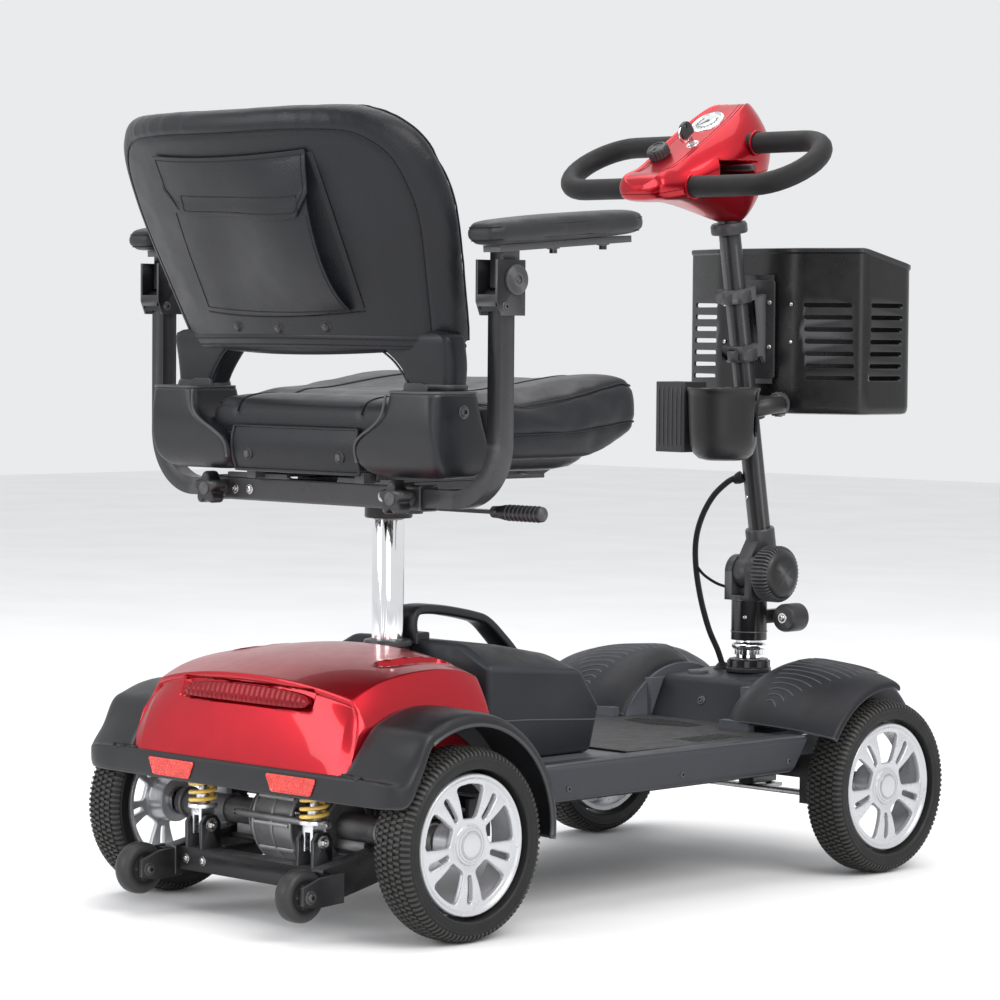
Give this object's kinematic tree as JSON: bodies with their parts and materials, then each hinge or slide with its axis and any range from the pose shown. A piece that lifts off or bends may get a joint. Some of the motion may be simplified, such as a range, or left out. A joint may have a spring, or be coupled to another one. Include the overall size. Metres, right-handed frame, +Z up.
{
  "type": "mobility scooter",
  "caption": "Compact mobility scooter with a padded swivel seat, flip-up armrests, folding tiller, front basket, cup holder and a red rear cover over a sprung rear axle.",
  "frame": {"origin": "on the ground, in the middle of the overall box", "axes": "+Z up, -Y is the front that the rider faces, +X is the rider's left"},
  "size_m": [0.578, 1.0214, 0.8889],
  "materials": {
    "frame_paint": "black powder coat",
    "deck_plastic": "dark grey grained plastic",
    "fender_plastic": "satin black grained plastic",
    "mat_rubber": "ribbed black rubber",
    "red_gloss": "candy red gloss",
    "lamp_lens": "dark red lens",
    "reflector": "red prism reflector",
    "black_plastic": "black moulded plastic",
    "foam_grip": "black foam grip",
    "gauge_bezel": "polished ring with a pale dial",
    "cable_sheath": "black cable sheath",
    "steel": "plain steel",
    "drive_alloy": "cast grey alloy",
    "alloy": "bare alloy",
    "spring_paint": "yellow spring paint",
    "caster_rubber": "hard black rubber",
    "chrome": "bright chrome plate",
    "vinyl": "black upholstery vinyl",
    "pad_vinyl": "dark grey soft vinyl",
    "tyre": "solid black tyre",
    "rim_alloy": "silver painted"
  },
  "bodies": {
    "chassis": {"frame": "frame_paint", "deck": "deck_plastic", "front_shroud": "deck_plastic", "steering_box": "deck_plastic", "deck_mat": "mat_rubber", "rear_cover": "red_gloss", "rear_fenders": "fender_plastic", "tail_lamp": "lamp_lens", "reflectors": "reflector"},
    "rear_axle": {"swing_frame": "frame_paint", "transaxle": "drive_alloy", "shock_clevises": "alloy", "springs": "spring_paint"},
    "rear_wheel_left": {"tyre_rl": "tyre", "rim_rl": "rim_alloy"},
    "rear_wheel_right": {"tyre_rr": "tyre", "rim_rr": "rim_alloy"},
    "antitip_wheel_left": {"antitip_wheel_l": "caster_rubber"},
    "antitip_wheel_right": {"antitip_wheel_r": "caster_rubber"},
    "steering": {"steering_column": "frame_paint", "steering_bearing": "chrome", "tiller_cable": "cable_sheath"},
    "knuckle_left": {"knuckle_l": "steel"},
    "knuckle_right": {"knuckle_r": "steel"},
    "tie_rod": {"tie_rod": "steel"},
    "front_wheel_left": {"tyre_fl": "tyre", "rim_fl": "rim_alloy"},
    "front_wheel_right": {"tyre_fr": "tyre", "rim_fr": "rim_alloy"},
    "tiller": {"tiller_tube": "frame_paint", "head_upper": "red_gloss", "head_lower": "red_gloss", "handle_loop": "foam_grip", "gauge": "gauge_bezel", "basket_bracket": "frame_paint", "cup_bracket": "black_plastic"},
    "lock_lever": {"lock_lever": "black_plastic"},
    "fold_knob": {"fold_knob": "black_plastic"},
    "throttle": {"throttle_lever": "black_plastic"},
    "speed_dial": {"speed_dial": "black_plastic"},
    "key": {"key": "black_plastic"},
    "basket": {"basket": "black_plastic"},
    "cup_holder": {"cup_holder": "black_plastic"},
    "battery": {"battery_case": "deck_plastic", "battery_handle": "fender_plastic"},
    "seat_post": {"seat_post": "chrome"},
    "seat": {"seat_frame": "frame_paint", "seat_cushion": "vinyl", "hinge_covers": "fender_plastic"},
    "seat_lever": {"seat_lever": "frame_paint"},
    "backrest": {"back_shell": "vinyl", "back_cushion": "vinyl"},
    "armrest_left": {"armrest_tube_l": "frame_paint"},
    "armrest_right": {"armrest_tube_r": "frame_paint"},
    "armpad_left": {"armrest_bar_l": "frame_paint", "armrest_pad_l": "pad_vinyl"},
    "armpad_right": {"armrest_bar_r": "frame_paint", "armrest_pad_r": "pad_vinyl"},
    "armrest_knob_left": {"armrest_knob_l": "black_plastic"},
    "armrest_knob_right": {"armrest_knob_r": "black_plastic"}
  },
  "joints": [
    {"name": "rear_suspension", "type": "hinge", "parent": "chassis", "child": "rear_axle", "pos_m": [0, 0.23225, 0.095], "axis": [1, 0, 0], "range_deg": [0, 3], "stiffness_Nm_per_rad": 400, "springref_deg": -6.88, "deforming": ["springs"]},
    {"name": "rear_wheel_left_spin", "type": "hinge", "parent": "rear_axle", "child": "rear_wheel_left", "pos_m": [0.2275, 0.35725, 0.1], "axis": [1, 0, 0], "continuous": true},
    {"name": "rear_wheel_right_spin", "type": "hinge", "parent": "rear_axle", "child": "rear_wheel_right", "pos_m": [-0.2275, 0.35725, 0.1], "axis": [1, 0, 0], "continuous": true},
    {"name": "antitip_wheel_left_spin", "type": "hinge", "parent": "rear_axle", "child": "antitip_wheel_left", "pos_m": [0.127, 0.48325, 0.048], "axis": [1, 0, 0], "continuous": true},
    {"name": "antitip_wheel_right_spin", "type": "hinge", "parent": "rear_axle", "child": "antitip_wheel_right", "pos_m": [-0.127, 0.48325, 0.048], "axis": [1, 0, 0], "continuous": true},
    {"name": "steering_turn", "type": "hinge", "parent": "chassis", "child": "steering", "pos_m": [0, -0.35675, 0.23], "axis": [0, 0, 1], "range_deg": [-25, 25]},
    {"name": "kingpin_left_turn", "type": "hinge", "parent": "chassis", "child": "knuckle_left", "pos_m": [0.165, -0.32475, 0.1], "axis": [0, 0, 1], "range_deg": [-25, 25]},
    {"name": "kingpin_right_turn", "type": "hinge", "parent": "chassis", "child": "knuckle_right", "pos_m": [-0.165, -0.32475, 0.1], "axis": [0, 0, 1], "range_deg": [-25, 25]},
    {"name": "tie_rod_shift", "type": "slide", "parent": "chassis", "child": "tie_rod", "axis": [1, 0, 0], "range_m": [-0.018, 0.018]},
    {"name": "front_wheel_left_spin", "type": "hinge", "parent": "knuckle_left", "child": "front_wheel_left", "pos_m": [0.2215, -0.32475, 0.1], "axis": [1, 0, 0], "continuous": true},
    {"name": "front_wheel_right_spin", "type": "hinge", "parent": "knuckle_right", "child": "front_wheel_right", "pos_m": [-0.2215, -0.32475, 0.1], "axis": [1, 0, 0], "continuous": true},
    {"name": "tiller_fold", "type": "hinge", "parent": "steering", "child": "tiller", "pos_m": [0, -0.35675, 0.333], "axis": [-1, 0, 0], "range_deg": [0, 35]},
    {"name": "lock_lever_turn", "type": "hinge", "parent": "steering", "child": "lock_lever", "pos_m": [-0.046, -0.38275, 0.28], "axis": [0, 1, 0], "range_deg": [0, 90]},
    {"name": "fold_knob_turn", "type": "hinge", "parent": "steering", "child": "fold_knob", "pos_m": [-0.04, -0.35675, 0.333], "axis": [1, 0, 0], "range_deg": [0, 270]},
    {"name": "throttle_swing", "type": "hinge", "parent": "tiller", "child": "throttle", "pos_m": [0, -0.27475, 0.812], "axis": [0, 0, 1], "range_deg": [-12, 12], "stiffness_Nm_per_rad": 0.4},
    {"name": "speed_dial_turn", "type": "hinge", "parent": "tiller", "child": "speed_dial", "pos_m": [0.016, -0.20875, 0.824], "axis": [0, 0.5878, 0.809], "range_deg": [0, 270]},
    {"name": "key_turn", "type": "hinge", "parent": "tiller", "child": "key", "pos_m": [-0.014, -0.23075, 0.838], "axis": [0, 0.5878, 0.809], "range_deg": [0, 90]},
    {"name": "basket_lift", "type": "slide", "parent": "tiller", "child": "basket", "axis": [0, 0, 1], "range_m": [0, 0.1]},
    {"name": "cup_holder_tilt", "type": "hinge", "parent": "tiller", "child": "cup_holder", "pos_m": [-0.04, -0.34375, 0.536], "axis": [1, 0, 0], "range_deg": [-8, 8]},
    {"name": "battery_lift", "type": "slide", "parent": "chassis", "child": "battery", "axis": [0, -0.5, 0.866], "range_m": [0, 0.12]},
    {"name": "seat_height", "type": "slide", "parent": "chassis", "child": "seat_post", "axis": [0, 0, 1], "range_m": [0, 0.04]},
    {"name": "seat_swivel", "type": "hinge", "parent": "seat_post", "child": "seat", "pos_m": [0, 0.24225, 0.44], "axis": [0, 0, 1], "range_deg": [-180, 180]},
    {"name": "seat_lever_pull", "type": "hinge", "parent": "seat", "child": "seat_lever", "pos_m": [-0.038, 0.24225, 0.431], "axis": [0, 0, 1], "range_deg": [0, 12], "stiffness_Nm_per_rad": 1.5},
    {"name": "backrest_fold", "type": "hinge", "parent": "seat", "child": "backrest", "pos_m": [0, 0.34925, 0.538], "axis": [1, 0, 0], "range_deg": [0, 55]},
    {"name": "armrest_left_width", "type": "slide", "parent": "seat", "child": "armrest_left", "axis": [1, 0, 0], "range_m": [0, 0.035]},
    {"name": "armrest_right_width", "type": "slide", "parent": "seat", "child": "armrest_right", "axis": [-1, 0, 0], "range_m": [0, 0.035]},
    {"name": "armrest_left_flip", "type": "hinge", "parent": "armrest_left", "child": "armpad_left", "pos_m": [0.2635, 0.33325, 0.672], "axis": [-1, 0, 0], "range_deg": [0, 90]},
    {"name": "armrest_right_flip", "type": "hinge", "parent": "armrest_right", "child": "armpad_right", "pos_m": [-0.2635, 0.33325, 0.672], "axis": [-1, 0, 0], "range_deg": [0, 90]},
    {"name": "armrest_left_knob_turn", "type": "hinge", "parent": "seat", "child": "armrest_knob_left", "pos_m": [0.146, 0.35725, 0.448], "axis": [0, 1, 0], "range_deg": [0, 270]},
    {"name": "armrest_right_knob_turn", "type": "hinge", "parent": "seat", "child": "armrest_knob_right", "pos_m": [-0.146, 0.35725, 0.448], "axis": [0, 1, 0], "range_deg": [0, 270]}
  ],
  "couplings": [
    {"joint": "kingpin_left_turn", "follows": "steering_turn", "ratio": 1},
    {"joint": "kingpin_right_turn", "follows": "steering_turn", "ratio": 1},
    {"joint": "tie_rod_shift", "follows": "steering_turn", "m_per_rad": 0.04}
  ]
}
